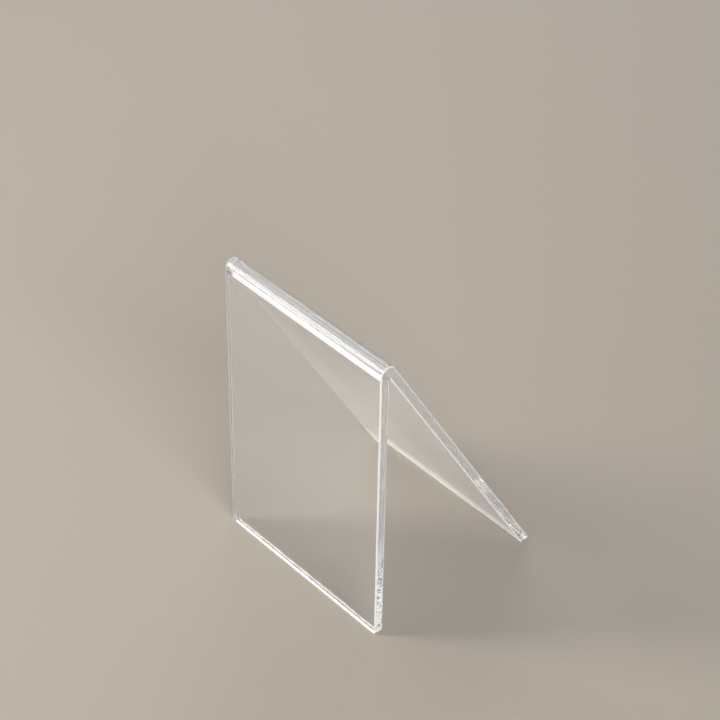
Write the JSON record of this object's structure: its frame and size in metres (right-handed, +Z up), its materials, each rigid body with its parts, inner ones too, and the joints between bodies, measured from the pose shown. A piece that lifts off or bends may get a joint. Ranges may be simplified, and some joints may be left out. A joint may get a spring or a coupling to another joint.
{
  "type": "book rest",
  "caption": "Free-standing clear acrylic book rest: an upright sheet and a sloping sheet meet at a round-nosed ridge, and a book leans on the slope.",
  "frame": {"origin": "on the ground, under the middle of the stand's bounding box", "axes": "+Z up, X along the ridge, the upright faces -Y and the slope faces +Y"},
  "size_m": [0.1, 0.096, 0.15],
  "materials": {
    "acrylic": "clear cast acrylic, polished faces and flame-polished edges",
    "cement": "clear cured acrylic cement with fine bubbles"
  },
  "bodies": {
    "root": {"upright_panel": "acrylic", "rest_panel": "acrylic", "ridge_bar": "acrylic", "upright_seam": "cement", "rest_seam": "cement"}
  },
  "joints": []
}
